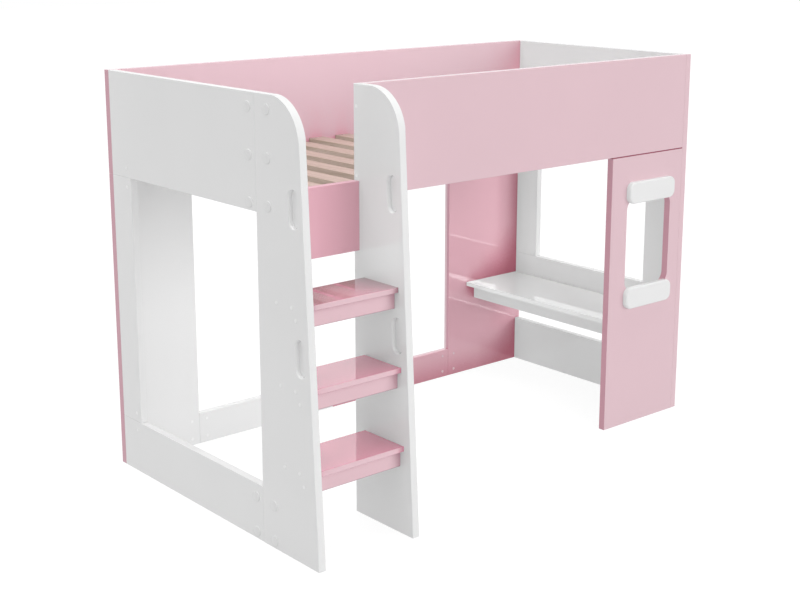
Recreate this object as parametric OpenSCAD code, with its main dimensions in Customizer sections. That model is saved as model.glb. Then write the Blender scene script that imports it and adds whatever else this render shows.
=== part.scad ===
// Cabin bed of eased boards: a raised bed with guards all round, a ladder of boxed
// treads in a bay at its front left corner, and a low desk under its right end.
// X runs along the bed, Y from the ladder to the back, Z up from the floor.

/* [Mattress] */
// Length of the mattress that lies on the slats
mattress_length = 2000; // [1700:10:2200]
// Width of the mattress
mattress_width = 900; // [800:10:1200]
// Room between the mattress and each end panel
mattress_end_room = 22; // [5:1:40]
// Room between the mattress and each long guard
mattress_side_room = 3.5; // [1:0.5:20]

/* [Boards] */
// Thickness of posts, panels, rails and guards
board = 28; // [26:0.5:32]
// Thickness of treads, risers and desk boards
thin_board = 18; // [16:0.5:22]
// Radius of the eased board edges
easing = 2; // [1:0.25:3]

/* [Heights] */
// Height of the whole bed
bed_height = 1488; // [1400:1:1650]
// Height of the guards and of the top end panels
guard_height = 375; // [300:1:420]
// Height of the rail that closes the ladder bay
bay_rail_height = 234; // [180:1:300]
// Rise of the bay rail's top above the slats
bay_rail_over_slats = 10; // [0:1:30]

/* [End frames] */
// Height of the rails that stand on the floor at both ends
lower_rail_height = 196; // [150:1:260]
// Width of the two posts at the back corners
back_post_width = 127; // [100:1:180]
// Width of the full-height post at the front right corner
front_post_width = 180; // [140:1:260]
// Top of the rail behind the desk
mid_rail_top = 514; // [480:1:560]
// Height of the rail behind the desk
mid_rail_height = 196; // [160:1:240]

/* [Back frame] */
// Width of the left upright at the back
back_left_width = 329; // [250:1:420]
// Width of the right upright at the back
back_right_width = 451; // [380:1:520]
// Height of the floor rail between the two uprights
back_rail_height = 124; // [110:1:180]

/* [Ladder] */
// Clear width between the two stringers
bay_width = 363; // [320:1:460]
// Depth of a stringer at the floor
stringer_foot = 301; // [280:1:340]
// Depth of a stringer at its top, before the corner is rounded
stringer_head = 222; // [200:1:260]
// Radius of the stringer's top front corner
stringer_corner = 150; // [90:1:170]
// Height of the first tread's top
first_tread = 312; // [280:1:330]
// Rise from tread to tread
tread_rise = 268; // [240:1:280]
// Distance of a tread's nose behind the stringer's front edge
tread_setback = 29; // [15:1:40]
// Gap between a tread's back edge and the face of the front guard
tread_back_gap = 22; // [10:1:30]
// Height of the riser under a tread
riser_height = 57; // [40:1:80]
// Distance of a riser's face behind the nose
riser_setback = 19; // [10:1:30]
// Clear width of a hand groove
groove_width = 40; // [30:1:42]
// Clear length of a hand groove
groove_length = 116; // [100:1:140]
// Depth of a hand groove
groove_depth = 14; // [12:0.5:16]
// Radius of a hand groove's rolled rim
groove_rim = 12; // [8:0.5:12]
// Distance from the stringer's front edge to a groove's middle
groove_inset = 47; // [40:1:55]
// Height of the lower groove's middle above the middle tread
lower_groove_rise = 102; // [95:1:110]
// Distance of the upper groove's middle below the stringer's top
upper_groove_drop = 339; // [320:1:360]

/* [Desk] */
// Width of the panel between the bed front and the floor
desk_panel_width = 423; // [390:1:480]
// Depth of the desk top, measured along the bed
desk_depth = 315; // [280:1:360]
// Height of the desk top
desk_height = 420; // [400:1:440]
// Height of the board under the desk's front edge
apron_height = 62; // [50:1:90]
// Distance of that board behind the desk's front edge
apron_setback = 47; // [20:1:80]
// Width and height of the battens that carry the desk and the slats
batten = 30; // [25:1:34]

/* [Window] */
// Width of the window in the desk panel
window_width = 264; // [200:1:300]
// Height of the window
window_height = 378; // [300:1:420]
// Lower edge of the window above the floor
window_sill = 560; // [530:1:600]
// Radius of the window's corners
window_corner = 45; // [20:1:60]
// Offset of the window's middle towards the bed's end
window_offset = 14; // [0:1:20]
// Length of the bars across the window's head and sill
bar_length = 275; // [240:1:320]
// Height of a window bar
bar_height = 87; // [70:1:110]
// Thickness of a window bar
bar_thickness = 20; // [16:0.5:26]
// How far a window bar reaches over the opening
bar_overlap = 18; // [8:1:24]
// Radius of a window bar's corners
bar_corner = 30; // [20:1:34]
// Radius of a window bar's front edge
bar_edge = 7; // [3:0.5:10]

/* [Slats] */
// Width of a slat
slat_width = 70; // [50:1:85]
// Thickness of a slat
slat_thickness = 20; // [16:0.5:26]
// Height of the ledger under the slats
ledger_height = 22; // [18:1:26]
// Height of the ledger's underside above the guards' lower edge
ledger_rise = 5; // [0:1:10]
// Clearance at each end of a slat
slat_end_play = 2; // [1:0.5:6]

/* [Fixings] */
// Clearance around every fixing in its bore
fixing_play = 0.2; // [0.1:0.05:0.4]
// Diameter of the round covers over the panel connectors
connector_cap = 35; // [32:0.5:38]
// Diameter of a panel connector's pocket
connector_pocket = 30; // [26:0.5:31]
// Diameter of a panel connector's bolt
connector_bolt = 6; // [5:0.5:8]
// Diameter of a cam
cam_diameter = 12; // [11:0.5:13]
// Diameter of a cam's bolt
cam_bolt = 5; // [4:0.5:6]
// Diameter of a screw cover
screw_cap = 13; // [12.5:0.5:16]
// Diameter of a board screw's head
board_screw_head = 10; // [9:0.5:10.5]
// Diameter of a board screw
board_screw = 6.5; // [5:0.5:7]
// Length of a board screw
board_screw_length = 50; // [45:1:60]
// Diameter of a wood screw
wood_screw = 4; // [3:0.5:5]
// Diameter of a hardwood dowel
dowel_diameter = 8; // [6:1:10]
// Length of a hardwood dowel
dowel_length = 34; // [30:1:40]

/* [Hidden] */
slat_count = 15;
slat_names = [for (i = [1:slat_count]) str("slat_", i < 10 ? "0" : "", i)];
$fn = 48;

// Overall sizes and the main planes
length = mattress_length + 2 * mattress_end_room + 2 * board;
depth = mattress_width + 2 * mattress_side_room + 2 * board;
inside_right = length - board;
inside_back = depth - board;
guard_foot = bed_height - guard_height;
ladder_right = board + bay_width + board;
ledger_foot = guard_foot + ledger_rise;
slat_foot = ledger_foot + ledger_height;
bay_rail_top = slat_foot + slat_thickness + bay_rail_over_slats;
back_right = length - back_right_width;
back_rail_seam = (back_left_width + back_right) / 2;
desk_panel_left = inside_right - desk_panel_width;
desk_left = inside_right - desk_depth;
desk_foot = desk_height - thin_board;
apron_left = desk_left + apron_setback;
cleat_foot = desk_foot - batten;
mid_rail_foot = mid_rail_top - mid_rail_height;
slat_gap = (inside_right - board - slat_count * slat_width) / (slat_count + 1);
cut = 1;

// The ladder's leaning front edge
foot_front = board - stringer_foot;
lean = atan((stringer_foot - stringer_head) / bed_height);
function ladder_front(z) = foot_front + z * tan(lean);
function tread_top(i) = first_tread + i * tread_rise;
function tread_nose(i) = ladder_front(tread_top(i)) + tread_setback;
groove_levels = [tread_top(1) + lower_groove_rise, bed_height - upper_groove_drop];

// Stand of the covers in front of the boards, and the thickness of a cover's plug
connector_cap_stand = 2.5;
screw_cap_stand = 0.8;
cap_plug = 1.8;

// Directions in which fixings are driven
to_right = [1, 0, 0];
to_left = [-1, 0, 0];
to_back = [0, 1, 0];
to_front = [0, -1, 0];
upward = [0, 0, 1];
downward = [0, 0, -1];

// Colours
lacquer_white = [0.93, 0.93, 0.92];
lacquer_pink = [0.88, 0.74, 0.78];
pine = [0.82, 0.69, 0.55];
zinc = [0.72, 0.73, 0.75];
beech = [0.80, 0.66, 0.48];

// ---- Places of the fixings ----
// A panel connector sits at [point on the outer face, at the seam; direction into the face].
connector_from_foot = 26;
connector_from_top = 47;
function connector_levels(foot, top, count) =
    [for (i = [0:count - 1])
        foot + connector_from_foot
        + i * (top - foot - connector_from_foot - connector_from_top) / (count - 1)];
left_connector_levels = concat(
    connector_levels(0, lower_rail_height, 2),
    connector_levels(guard_foot, bed_height, 3));
right_connector_levels = concat(
    connector_levels(0, lower_rail_height, 2),
    connector_levels(mid_rail_foot, mid_rail_top, 2),
    connector_levels(guard_foot, bed_height, 3));
connectors = concat(
    [for (z = left_connector_levels) [[0, board, z], to_right]],
    [for (z = right_connector_levels) [[length, front_post_width, z], to_left]]);

// A cam fitting sits at [point on the open face, at the seam; direction of the bolt;
// direction into the face; whether a second cam holds the bolt's other end].
post_cam_inset = 27;
edge_cam_inset = 70;
rail_cam_inset = 26;
bay_cam_inset = 55;
left_post_cam = inside_back - back_post_width + post_cam_inset;
end_cams = [
    [[0, left_post_cam, guard_foot], upward, to_right, true],
    [[0, left_post_cam, lower_rail_height], upward, to_right, true],
    [[length, left_post_cam, guard_foot], upward, to_left, true],
    [[length, left_post_cam, mid_rail_top], upward, to_left, true]];
back_seam_cams = [for (x = [edge_cam_inset, back_left_width - edge_cam_inset,
                            back_right + edge_cam_inset, length - edge_cam_inset])
    [[x, depth, guard_foot], upward, to_front, true]];
rail_cams = [for (x = [back_left_width, back_rail_seam, back_right],
                  z = [rail_cam_inset, back_rail_height - rail_cam_inset])
    [[x, inside_back, z], to_right, to_back, true]];
front_seam_cams = [for (x = [desk_panel_left + edge_cam_inset, inside_right - edge_cam_inset])
    [[x, board, guard_foot], upward, to_front, true]];
bay_cam_levels = [bay_rail_top - bay_rail_height + bay_cam_inset, bay_rail_top - bay_cam_inset];
bay_cams = [for (z = bay_cam_levels, side = [0, 1])
    [[board + side * bay_width, board, z], side == 0 ? to_right : to_left, to_front, false]];
cams = concat(end_cams, back_seam_cams, rail_cams, front_seam_cams, bay_cams);

// A board screw sits at [point on the face, direction in which it is driven].
tread_screw_offsets = [50, 129];
guard_screw_inset = 73;
panel_screw_inset = 120;
guard_screw_levels = [guard_foot + guard_screw_inset, bed_height - guard_screw_inset];
panel_screw_levels = [panel_screw_inset, window_sill - panel_screw_inset,
                      guard_foot - panel_screw_inset];
tread_screws = [for (i = [0:2], offset = tread_screw_offsets, side = [0, 1])
    [[side * ladder_right, tread_nose(i) + offset, tread_top(i) - thin_board / 2],
     side == 0 ? to_right : to_left]];
riser_screws = [for (i = [0:2], side = [0, 1])
    [[side * ladder_right, tread_nose(i) + riser_setback + thin_board / 2,
      tread_top(i) - thin_board - riser_height / 2],
     side == 0 ? to_right : to_left]];
guard_screws = concat(
    [for (z = guard_screw_levels) [[ladder_right - board, board / 2, z], to_right]],
    [for (z = concat(panel_screw_levels, guard_screw_levels)) [[length, board / 2, z], to_left]]);
function spread(low, high, count) = [for (i = [1:count]) low + (high - low) * i / (count + 1)];
left_back_levels = concat([lower_rail_height / 2], spread(lower_rail_height, guard_foot, 3),
                          guard_screw_levels);
right_back_levels = concat([lower_rail_height / 2, (mid_rail_foot + mid_rail_top) / 2],
                           spread(mid_rail_top, guard_foot, 2), guard_screw_levels);
back_screws = concat(
    [for (z = left_back_levels) [[board / 2, depth, z], to_front]],
    [for (z = right_back_levels) [[length - board / 2, depth, z], to_front]]);
board_screw_places = concat(tread_screws, riser_screws, guard_screws, back_screws);

// A wood screw sits at [point on the face, direction in which it is driven, length].
wood_screw_tip = 15;
desk_screw_tip = 12;
slat_centres = [for (i = [0:slat_count - 1]) board + slat_gap * (i + 1) + slat_width * (i + 0.5)];
ledger_screw_drop = 6;
ledger_screws = [for (i = [1:2:slat_count - 1], back = [0, 1])
    [[slat_centres[i] - (slat_width + slat_gap) / 2, back == 0 ? board + batten : inside_back - batten,
      slat_foot - ledger_screw_drop],
     back == 0 ? to_front : to_back, batten + wood_screw_tip]];
slat_screws = [for (x = slat_centres, y = [board + batten / 2, inside_back - batten / 2])
    [[x, y, slat_foot + slat_thickness], downward, slat_thickness + wood_screw_tip]];
window_middle = desk_panel_left + desk_panel_width / 2 + window_offset;
bar_screw_inset = 37;
bar_screws = [for (x = [-1, 1] * (bar_length / 2 - bar_screw_inset),
                   z = [bar_upper_foot() + bar_height / 2, bar_lower_foot() + bar_height / 2])
    [[window_middle + x, board, z], to_front, board + desk_screw_tip]];
function bar_upper_foot() = window_sill + window_height - bar_overlap;
function bar_lower_foot() = window_sill + bar_overlap - bar_height;
cleat_wall_inset = 60;
cleat_top_inset = 100;
cleat_left = apron_left + thin_board;
cleat_right = inside_right - batten;
cleat_middle_z = cleat_foot + batten / 2;
desk_wall_screws = concat(
    [for (y = [board + batten + cleat_wall_inset, inside_back - batten - cleat_wall_inset])
        [[cleat_right, y, cleat_middle_z], to_right, batten + wood_screw_tip]],
    [for (x = [cleat_left + cleat_wall_inset, cleat_right - cleat_wall_inset])
        [[x, board + batten, cleat_middle_z], to_front, batten + wood_screw_tip]],
    [for (x = [cleat_left + cleat_wall_inset, cleat_right - cleat_wall_inset])
        [[x, inside_back - batten, cleat_middle_z], to_back, batten + wood_screw_tip]]);
desk_top_screws = concat(
    [for (y = [board + batten + cleat_top_inset, inside_back - batten - cleat_top_inset])
        [[inside_right - batten / 2, y, cleat_foot], upward, batten + desk_screw_tip]],
    [for (y = [board + batten / 2, inside_back - batten / 2])
        [[(cleat_left + cleat_right) / 2, y, cleat_foot], upward, batten + desk_screw_tip]]);
wood_screw_places = concat(ledger_screws, slat_screws, bar_screws, desk_wall_screws, desk_top_screws);

// A dowel sits at [middle of the dowel, direction].
dowel_pair = 90;
dowel_in_top = 12;
function pair(low, high) = [for (side = [-1, 1]) (low + high) / 2 + side * dowel_pair / 2];
dowel_places = concat(
    [for (z = pair(guard_foot, bed_height)) [[board / 2, board, z], to_back]],
    [[[board / 2, board, lower_rail_height / 2], to_back]],
    [for (z = [guard_foot, lower_rail_height])
        [[board / 2, inside_back - post_cam_inset, z], upward]],
    [for (z = pair(guard_foot, bed_height)) [[length - board / 2, front_post_width, z], to_back]],
    [for (z = [lower_rail_height / 2, (mid_rail_foot + mid_rail_top) / 2])
        [[length - board / 2, front_post_width, z], to_back]],
    [for (z = [guard_foot, mid_rail_top])
        [[length - board / 2, inside_back - post_cam_inset, z], upward]],
    [for (x = [ladder_right, inside_right], z = pair(guard_foot, bed_height))
        [[x, board / 2, z], to_right]],
    [for (x = [board, board + bay_width])
        [[x, board / 2, bay_rail_top - bay_rail_height / 2], to_right]],
    [for (x = pair(desk_panel_left, inside_right)) [[x, board / 2, guard_foot], upward]],
    [for (x = pair(0, back_left_width)) [[x, depth - board / 2, guard_foot], upward]],
    [for (x = pair(back_right, length)) [[x, depth - board / 2, guard_foot], upward]],
    [for (x = [back_left_width, back_rail_seam, back_right])
        [[x, depth - board / 2, back_rail_height / 2], to_right]],
    [for (y = spread(board, inside_back, 3))
        [[apron_left + thin_board / 2, y, desk_foot + dowel_in_top - dowel_length / 2], upward]]);

// ---- Common forms ----
// Moves the bed so that its origin lies under its middle
module place() {
    translate([-length / 2, -(foot_front + depth + screw_cap_stand) / 2, 0])
        children();
}

// Puts a form at a point, with its Z along one direction and its X along another
module set_at(point, along, inward) {
    side = cross(along, inward);
    multmatrix([for (k = [0:2]) [inward[k], side[k], along[k], point[k]]])
        children();
}

// Any direction square to a fixing's own
function square_to(along) = along.z == 0 ? upward : to_right;

module rounded_rectangle(width, height, radius) {
    translate([radius, 0])
        square([width - 2 * radius, height]);
    translate([0, radius])
        square([width, height - 2 * radius]);
    for (x = [radius, width - radius], y = [radius, height - radius])
        translate([x, y])
            circle(radius);
}

// A board between two corners, with all twelve edges eased
module eased_board(low, high) {
    size = high - low;
    translate(low)
        intersection() {
            linear_extrude(size.z)
                rounded_rectangle(size.x, size.y, easing);
            translate([0, size.y, 0])
                rotate([90, 0, 0])
                    linear_extrude(size.y)
                        rounded_rectangle(size.x, size.z, easing);
            rotate([90, 0, 90])
                linear_extrude(size.x)
                    rounded_rectangle(size.y, size.z, easing);
        }
}

// Whether a fixing at a point can reach the board between two corners
fixing_reach = 80;
function reaches(point, low, high) =
    min([for (k = [0:2]) min(point[k] - low[k], high[k] - point[k])]) > -fixing_reach;

// The bores of all fixings that reach the board between two corners
module bores(low, high) {
    for (c = connectors)
        if (reaches(c[0], low, high))
            set_at(c[0], to_back, c[1])
                connector_bore();
    for (c = cams)
        if (reaches(c[0], low, high))
            set_at(c[0], c[1], c[2])
                cam_bore(c[3]);
    for (s = board_screw_places)
        if (reaches(s[0], low, high))
            set_at(s[0], s[1], square_to(s[1]))
                board_screw_bore();
    for (s = wood_screw_places)
        if (reaches(s[0], low, high))
            set_at(s[0], s[1], square_to(s[1]))
                wood_screw_form(s[2], fixing_play);
    for (d = dowel_places)
        if (reaches(d[0], low, high))
            set_at(d[0], d[1], square_to(d[1]))
                dowel_form(fixing_play);
}

// An eased board with its bores
module bored_board(low, high) {
    difference() {
        eased_board(low, high);
        bores(low, high);
    }
}

// ---- Fixings ----
// Panel connector: two saddles in round pockets, drawn together by a bolt across the seam
head_pocket = 64;
nut_pocket = 37;
pocket_floor = 8;
pocket_depth = board - pocket_floor;
saddle_flat = 7;
saddle_half = 6;
hex_width = 10;
hex_height = 4;
thread_end = 3;

module connector_bore() {
    for (z = [-head_pocket, nut_pocket])
        translate([-cut, 0, z])
            rotate([0, 90, 0])
                cylinder(d = connector_pocket, h = pocket_depth + cut);
    translate([board / 2, 0, -head_pocket])
        cylinder(d = connector_bolt + 2 * fixing_play, h = head_pocket + nut_pocket);
}

// Saddle: the segment of a disc that bears on the pocket's wall nearest the seam
module connector_saddle() {
    difference() {
        intersection() {
            translate([board / 2 - saddle_half, 0, 0])
                rotate([0, 90, 0])
                    cylinder(d = connector_pocket - 2 * fixing_play, h = 2 * saddle_half);
            translate([0, -connector_pocket, saddle_flat])
                cube([board, 2 * connector_pocket, connector_pocket]);
        }
        translate([board / 2, 0, 0])
            cylinder(d = connector_bolt + 2 * fixing_play, h = connector_pocket);
    }
}

module connector_bolt_form() {
    head_seat = saddle_flat - head_pocket;
    nut_seat = nut_pocket - saddle_flat;
    translate([board / 2, 0, head_seat - hex_height])
        cylinder(d = hex_width / cos(30), h = hex_height, $fn = 6);
    translate([board / 2, 0, head_seat])
        cylinder(d = connector_bolt, h = nut_seat - head_seat + hex_height + thread_end);
}

module connector_nut() {
    translate([board / 2, 0, nut_pocket - saddle_flat])
        difference() {
            cylinder(d = hex_width / cos(30), h = hex_height, $fn = 6);
            translate([0, 0, -cut])
                cylinder(d = connector_bolt + 2 * fixing_play, h = hex_height + 2 * cut);
        }
}

// A flat cover with a rolled rim, on a plug that fills the mouth of a bore; it opens towards -X
rim_share = 0.8;

module cover(diameter, plug, stand) {
    rim = stand * rim_share;
    rotate([0, -90, 0])
        rotate_extrude() {
            translate([0, -cap_plug])
                square([plug / 2, cap_plug + stand - rim]);
            square([diameter / 2 - rim, stand]);
            square([diameter / 2, stand - rim]);
            intersection() {
                translate([diameter / 2 - rim, stand - rim])
                    circle(rim);
                square([diameter, stand]);
            }
        }
}

// Cam fitting: slotted cams in blind bores, and a bolt between them or into a board's face
cam_seat = 34;
cam_depth = board / 2 + 6;
cam_slot = [1.6, 8, 1.6];
bolt_in_face = 18;
bolt_in_cam = 4;

module cam_bore(double) {
    for (side = double ? [-1, 1] : [1])
        translate([-cut, 0, side * cam_seat])
            rotate([0, 90, 0])
                cylinder(d = cam_diameter + 2 * fixing_play, h = cam_depth + cut + fixing_play);
    translate([board / 2, 0, double ? -cam_seat : -bolt_in_face - fixing_play])
        cylinder(d = cam_bolt + 2 * fixing_play,
                 h = double ? 2 * cam_seat : cam_seat + bolt_in_face + fixing_play);
}

module cam_form(double) {
    for (side = double ? [-1, 1] : [1])
        translate([0, 0, side * cam_seat])
            difference() {
                translate([cap_plug + fixing_play, 0, 0])
                    rotate([0, 90, 0])
                        cylinder(d = cam_diameter, h = cam_depth - cap_plug - fixing_play);
                translate([cap_plug + fixing_play - cut, -cam_slot.y / 2, -cam_slot.z / 2])
                    cube([cam_slot.x + cut, cam_slot.y, cam_slot.z]);
                translate([board / 2, 0, side > 0 ? -cam_diameter : 0])
                    cylinder(d = cam_bolt + 2 * fixing_play, h = cam_diameter);
            }
}

module cam_bolt_form(double) {
    foot = double ? bolt_in_cam - cam_seat : -bolt_in_face;
    translate([board / 2, 0, foot])
        cylinder(d = cam_bolt, h = cam_seat - bolt_in_cam - foot);
}

// Board screw: a sunk cylinder head on a straight shank
screw_head_height = 4;

module board_screw_form() {
    translate([0, 0, cap_plug + fixing_play])
        cylinder(d = board_screw_head, h = screw_head_height);
    translate([0, 0, cap_plug + fixing_play])
        cylinder(d = board_screw, h = board_screw_length);
}

module board_screw_bore() {
    translate([0, 0, -cut])
        cylinder(d = board_screw_head + 2 * fixing_play,
                 h = cut + cap_plug + fixing_play + screw_head_height);
    translate([0, 0, cap_plug])
        cylinder(d = board_screw + 2 * fixing_play, h = board_screw_length + 2 * fixing_play);
}

// Wood screw with a countersunk head; play widens it into its own bore
module wood_screw_form(length, play) {
    head = 2 * wood_screw;
    cylinder(d1 = head + 2 * play, d2 = wood_screw + 2 * play, h = wood_screw / 2);
    cylinder(d = wood_screw + 2 * play, h = length + play);
}

module dowel_form(play) {
    cylinder(d = dowel_diameter + 2 * play, h = dowel_length + 2 * play, center = true);
}

// ---- Left end ----
module left_upper_panel() {
    place() color(lacquer_white)
        bored_board([0, board, guard_foot], [board, inside_back, bed_height]);
}

module left_lower_rail() {
    place() color(lacquer_white)
        bored_board([0, board, 0], [board, inside_back, lower_rail_height]);
}

module left_back_post() {
    place() color(lacquer_white)
        bored_board([0, inside_back - back_post_width, lower_rail_height],
                    [board, inside_back, guard_foot]);
}

// ---- Ladder ----
// A stringer seen from its side: upright back, leaning front and a rounded top front corner
module stringer_outline() {
    rise = bed_height - stringer_corner;
    centre = [ladder_front(rise) + stringer_corner / cos(lean), rise];
    reach = 2 * stringer_corner;
    difference() {
        polygon([[foot_front, 0], [ladder_front(bed_height), bed_height],
                 [board, bed_height], [board, 0]]);
        difference() {
            polygon([centre, centre + reach * [-cos(lean), sin(lean)],
                     centre + reach * [-1, 1], centre + reach * [0, 1]]);
            translate(centre)
                circle(stringer_corner, $fn = 180);
        }
    }
}

// Takes the sharp corner off the edge that runs up from the origin, on a board at +X and +Y
module edge_cutter(run) {
    translate([0, 0, -cut])
        linear_extrude(run + 2 * cut)
            difference() {
                translate([-cut, -cut])
                    square([easing + cut, easing + cut]);
                translate([easing, easing])
                    circle(easing);
            }
}

// A stringer's plate: its straight edges are eased and run out where the corner turns away
module stringer_body() {
    difference() {
        rotate([90, 0, 90])
            linear_extrude(board)
                stringer_outline();
        for (side = [0, 1])
            translate([side * board, 0, 0])
                mirror([side, 0, 0]) {
                    translate([0, foot_front, 0])
                        rotate([-lean, 0, 0])
                            translate([0, 0, -board])
                                edge_cutter(bed_height + board);
                    translate([0, board, 0])
                        mirror([0, 1, 0])
                            edge_cutter(bed_height);
                    translate([0, board, bed_height])
                        rotate([90, 0, 0])
                            mirror([0, 1, 0])
                                edge_cutter(stringer_foot);
                }
    }
}

// Half the section of a hand groove, from its middle line out; its rim rolls over to the face
rim_start = 0.8;
rim_reach = 0.5;
module groove_section() {
    difference() {
        translate([0, -cut])
            square([groove_width / 2 + rim_reach * groove_rim, groove_depth + cut]);
        translate([groove_width / 2 + groove_rim, rim_start * groove_rim])
            circle(groove_rim);
        translate([groove_width / 2, rim_start * groove_rim])
            square([groove_rim, groove_depth]);
    }
}

// The cutters of a blind hand groove along the leaning edge: two round ends and the run between
module hand_groove(z) {
    straight = groove_length - groove_width;
    translate([0, ladder_front(z) + groove_inset, z])
        rotate([-lean, 0, 0]) {
            for (end = [-1, 1] * straight / 2)
                translate([0, 0, end])
                    rotate([0, 90, 0])
                        rotate_extrude($fn = 96)
                            groove_section();
            translate([0, 0, -straight / 2])
                linear_extrude(straight)
                    for (side = [0, 1])
                        mirror([0, side])
                            mirror([1, -1])
                                groove_section();
        }
}

module stringer(x) {
    difference() {
        translate([x, 0, 0])
            difference() {
                stringer_body();
                for (z = groove_levels)
                    hand_groove(z);
            }
        bores([x, foot_front, 0], [x + board, board, bed_height]);
    }
}

module ladder_stringer_left() {
    place() color(lacquer_white)
        stringer(0);
}

module ladder_stringer_right() {
    place() color(lacquer_white)
        stringer(ladder_right - board);
}

module ladder_bay_rail() {
    place() color(lacquer_pink)
        bored_board([board, 0, bay_rail_top - bay_rail_height], [board + bay_width, board, bay_rail_top]);
}

module tread(i) {
    place() color(lacquer_pink)
        bored_board([board, tread_nose(i), tread_top(i) - thin_board],
                    [board + bay_width, -tread_back_gap, tread_top(i)]);
}

module riser(i) {
    face = tread_nose(i) + riser_setback;
    foot = tread_top(i) - thin_board - riser_height;
    place() color(lacquer_pink)
        bored_board([board, face, foot], [board + bay_width, face + thin_board, foot + riser_height]);
}

// ---- Front ----
module front_guard() {
    place() color(lacquer_pink)
        bored_board([ladder_right, 0, guard_foot], [inside_right, board, bed_height]);
}

module desk_side_panel() {
    place() color(lacquer_pink)
        difference() {
            bored_board([desk_panel_left, 0, 0], [inside_right, board, guard_foot]);
            translate([window_middle - window_width / 2, board + cut, window_sill])
                rotate([90, 0, 0])
                    linear_extrude(board + 2 * cut)
                        rounded_rectangle(window_width, window_height, window_corner);
        }
}

// A window bar: a plate with rounded corners and a rolled front edge
module bar_section(width) {
    translate([bar_edge, 0])
        square([width - 2 * bar_edge, bar_thickness]);
    square([width, bar_thickness - bar_edge]);
    for (x = [bar_edge, width - bar_edge])
        translate([x, bar_thickness - bar_edge])
            circle(bar_edge);
}

module bar_body() {
    corner_x = bar_length / 2 - bar_corner;
    corner_z = bar_height / 2 - bar_corner;
    rotate([90, 0, 0]) {
        for (x = [-corner_x, corner_x], z = [-corner_z, corner_z])
            translate([x, z, 0])
                rotate_extrude($fn = 96)
                    intersection() {
                        translate([-bar_corner, 0])
                            bar_section(2 * bar_corner);
                        square([bar_corner, bar_thickness]);
                    }
        translate([-corner_x, -bar_height / 2, 0])
            rotate([90, 0, 90])
                linear_extrude(2 * corner_x)
                    bar_section(bar_height);
        translate([-bar_length / 2, corner_z, 0])
            rotate([90, 0, 0])
                linear_extrude(2 * corner_z)
                    bar_section(bar_length);
    }
}

module window_bar(foot) {
    place() color(lacquer_white)
        difference() {
            translate([window_middle, 0, foot + bar_height / 2])
                bar_body();
            bores([desk_panel_left, -bar_thickness, foot], [inside_right, 0, foot + bar_height]);
        }
}

module window_bar_upper() {
    window_bar(bar_upper_foot());
}

module window_bar_lower() {
    window_bar(bar_lower_foot());
}

// ---- Right end ----
module right_front_post() {
    place() color(lacquer_white)
        bored_board([inside_right, 0, 0], [length, front_post_width, bed_height]);
}

module right_upper_panel() {
    place() color(lacquer_white)
        bored_board([inside_right, front_post_width, guard_foot], [length, inside_back, bed_height]);
}

module right_back_post() {
    place() color(lacquer_white)
        bored_board([inside_right, inside_back - back_post_width, mid_rail_top],
                    [length, inside_back, guard_foot]);
}

module right_mid_rail() {
    place() color(lacquer_white)
        bored_board([inside_right, front_post_width, mid_rail_foot], [length, inside_back, mid_rail_top]);
}

module right_lower_rail() {
    place() color(lacquer_white)
        bored_board([inside_right, front_post_width, 0], [length, inside_back, lower_rail_height]);
}

// ---- Back ----
module back_guard() {
    place() color(lacquer_pink)
        bored_board([0, inside_back, guard_foot], [length, depth, bed_height]);
}

module back_left_post() {
    place() color(lacquer_white)
        bored_board([0, inside_back, 0], [back_left_width, depth, guard_foot]);
}

module back_right_post() {
    place() color(lacquer_pink)
        bored_board([back_right, inside_back, 0], [length, depth, guard_foot]);
}

module back_rail_left() {
    place() color(lacquer_white)
        bored_board([back_left_width, inside_back, 0], [back_rail_seam, depth, back_rail_height]);
}

module back_rail_right() {
    place() color(lacquer_pink)
        bored_board([back_rail_seam, inside_back, 0], [back_right, depth, back_rail_height]);
}

// ---- Desk ----
module desk_top() {
    place() color(lacquer_white)
        bored_board([desk_left, board, desk_foot], [inside_right, inside_back, desk_height]);
}

module desk_apron() {
    place() color(lacquer_white)
        bored_board([apron_left, board, desk_foot - apron_height],
                    [apron_left + thin_board, inside_back, desk_foot]);
}

module desk_cleat_end() {
    place() color(pine)
        bored_board([cleat_right, board, cleat_foot], [inside_right, inside_back, desk_foot]);
}

module desk_cleat_back() {
    place() color(pine)
        bored_board([cleat_left, inside_back - batten, cleat_foot], [cleat_right, inside_back, desk_foot]);
}

module desk_cleat_front() {
    place() color(pine)
        bored_board([cleat_left, board, cleat_foot], [cleat_right, board + batten, desk_foot]);
}

// ---- Slats ----
module slat_ledger_front() {
    place() color(pine)
        bored_board([board, board, ledger_foot], [inside_right, board + batten, slat_foot]);
}

module slat_ledger_back() {
    place() color(pine)
        bored_board([board, inside_back - batten, ledger_foot], [inside_right, inside_back, slat_foot]);
}

module slat(i) {
    place() color(pine)
        bored_board([slat_centres[i] - slat_width / 2, board + slat_end_play, slat_foot],
                    [slat_centres[i] + slat_width / 2, inside_back - slat_end_play,
                     slat_foot + slat_thickness]);
}

// ---- Groups of like fixings ----
module connector_cover_caps() {
    place() color(lacquer_white)
        for (c = connectors, z = [-head_pocket, nut_pocket])
            set_at(c[0] + z * to_back, to_back, c[1])
                cover(connector_cap, connector_pocket - 2 * fixing_play, connector_cap_stand);
}

module connector_bolts() {
    place() color(zinc)
        for (c = connectors)
            set_at(c[0], to_back, c[1])
                connector_bolt_form();
}

module connector_nuts() {
    place() color(zinc)
        for (c = connectors)
            set_at(c[0], to_back, c[1])
                connector_nut();
}

module connector_saddles() {
    place() color(zinc)
        for (c = connectors)
            set_at(c[0], to_back, c[1]) {
                translate([0, 0, -head_pocket])
                    connector_saddle();
                translate([0, 0, nut_pocket])
                    mirror([0, 0, 1])
                        connector_saddle();
            }
}

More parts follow.
